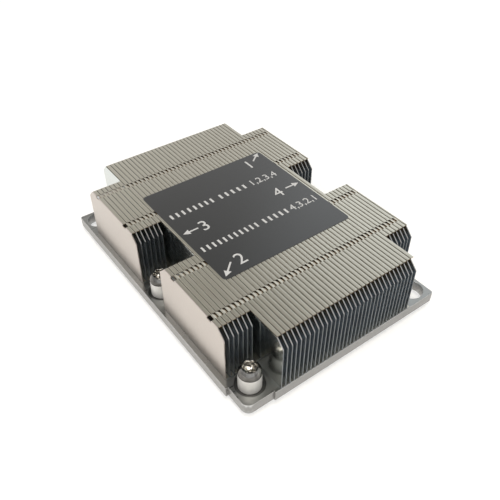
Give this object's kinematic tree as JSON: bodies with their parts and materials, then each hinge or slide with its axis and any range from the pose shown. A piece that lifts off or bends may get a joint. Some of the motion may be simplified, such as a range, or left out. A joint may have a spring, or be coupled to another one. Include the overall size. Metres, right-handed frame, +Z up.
{
  "type": "passive server cpu heatsink",
  "caption": "Low passive heatsink: a flat base plate with a stack of folded, interlocked sheet fins, captive corner and side nuts, guide holes and a square label.",
  "frame": {"origin": "middle of the contact face under the base plate, which is also the lowest point", "axes": "+X along the fins, the way the air flows, +Y across the fins in the direction that their flanges fold, +Z up from the contact face to the fin tops"},
  "size_m": [0.108, 0.078, 0.0257],
  "materials": {
    "base_aluminium": "satin machined",
    "fin_aluminium": "rolled sheet, satin",
    "nut_chrome": "bright nickel plate",
    "ring_steel": "plain spring steel",
    "label_film": "matte charcoal film"
  },
  "bodies": {
    "heatsink": {"base_plate": "base_aluminium", "fin_01": "fin_aluminium", "fin_02": "fin_aluminium", "fin_03": "fin_aluminium", "fin_04": "fin_aluminium", "fin_05": "fin_aluminium", "fin_06": "fin_aluminium", "fin_07": "fin_aluminium", "fin_08": "fin_aluminium", "fin_09": "fin_aluminium", "fin_10": "fin_aluminium", "fin_11": "fin_aluminium", "fin_12": "fin_aluminium", "fin_13": "fin_aluminium", "fin_14": "fin_aluminium", "fin_15": "fin_aluminium", "fin_16": "fin_aluminium", "fin_17": "fin_aluminium", "fin_18": "fin_aluminium", "fin_19": "fin_aluminium", "fin_20": "fin_aluminium", "fin_21": "fin_aluminium", "fin_22": "fin_aluminium", "fin_23": "fin_aluminium", "fin_24": "fin_aluminium", "fin_25": "fin_aluminium", "fin_26": "fin_aluminium", "fin_27": "fin_aluminium", "fin_28": "fin_aluminium", "fin_29": "fin_aluminium", "fin_30": "fin_aluminium", "fin_31": "fin_aluminium", "fin_32": "fin_aluminium", "fin_33": "fin_aluminium", "fin_34": "fin_aluminium", "side_fins_front_left": "fin_aluminium", "side_fins_back_left": "fin_aluminium", "side_fins_front_right": "fin_aluminium", "side_fins_back_right": "fin_aluminium", "top_label": "label_film"},
    "nut_1": {"captive_nut_1": "nut_chrome", "retaining_ring_1": "ring_steel"},
    "nut_2": {"captive_nut_2": "nut_chrome", "retaining_ring_2": "ring_steel"},
    "nut_3": {"captive_nut_3": "nut_chrome", "retaining_ring_3": "ring_steel"},
    "nut_4": {"captive_nut_4": "nut_chrome", "retaining_ring_4": "ring_steel"}
  },
  "joints": [
    {"name": "nut_1_turn", "type": "hinge", "parent": "heatsink", "child": "nut_1", "pos_m": [-0.047, 0.0322, 0.0055], "axis": [0, 0, 1], "continuous": true},
    {"name": "nut_2_turn", "type": "hinge", "parent": "heatsink", "child": "nut_2", "pos_m": [0.047, -0.0322, 0.0055], "axis": [0, 0, 1], "continuous": true},
    {"name": "nut_3_turn", "type": "hinge", "parent": "heatsink", "child": "nut_3", "pos_m": [-0.0009, -0.0335, 0.0055], "axis": [0, 0, 1], "continuous": true},
    {"name": "nut_4_turn", "type": "hinge", "parent": "heatsink", "child": "nut_4", "pos_m": [0.0009, 0.0335, 0.0055], "axis": [0, 0, 1], "continuous": true}
  ]
}
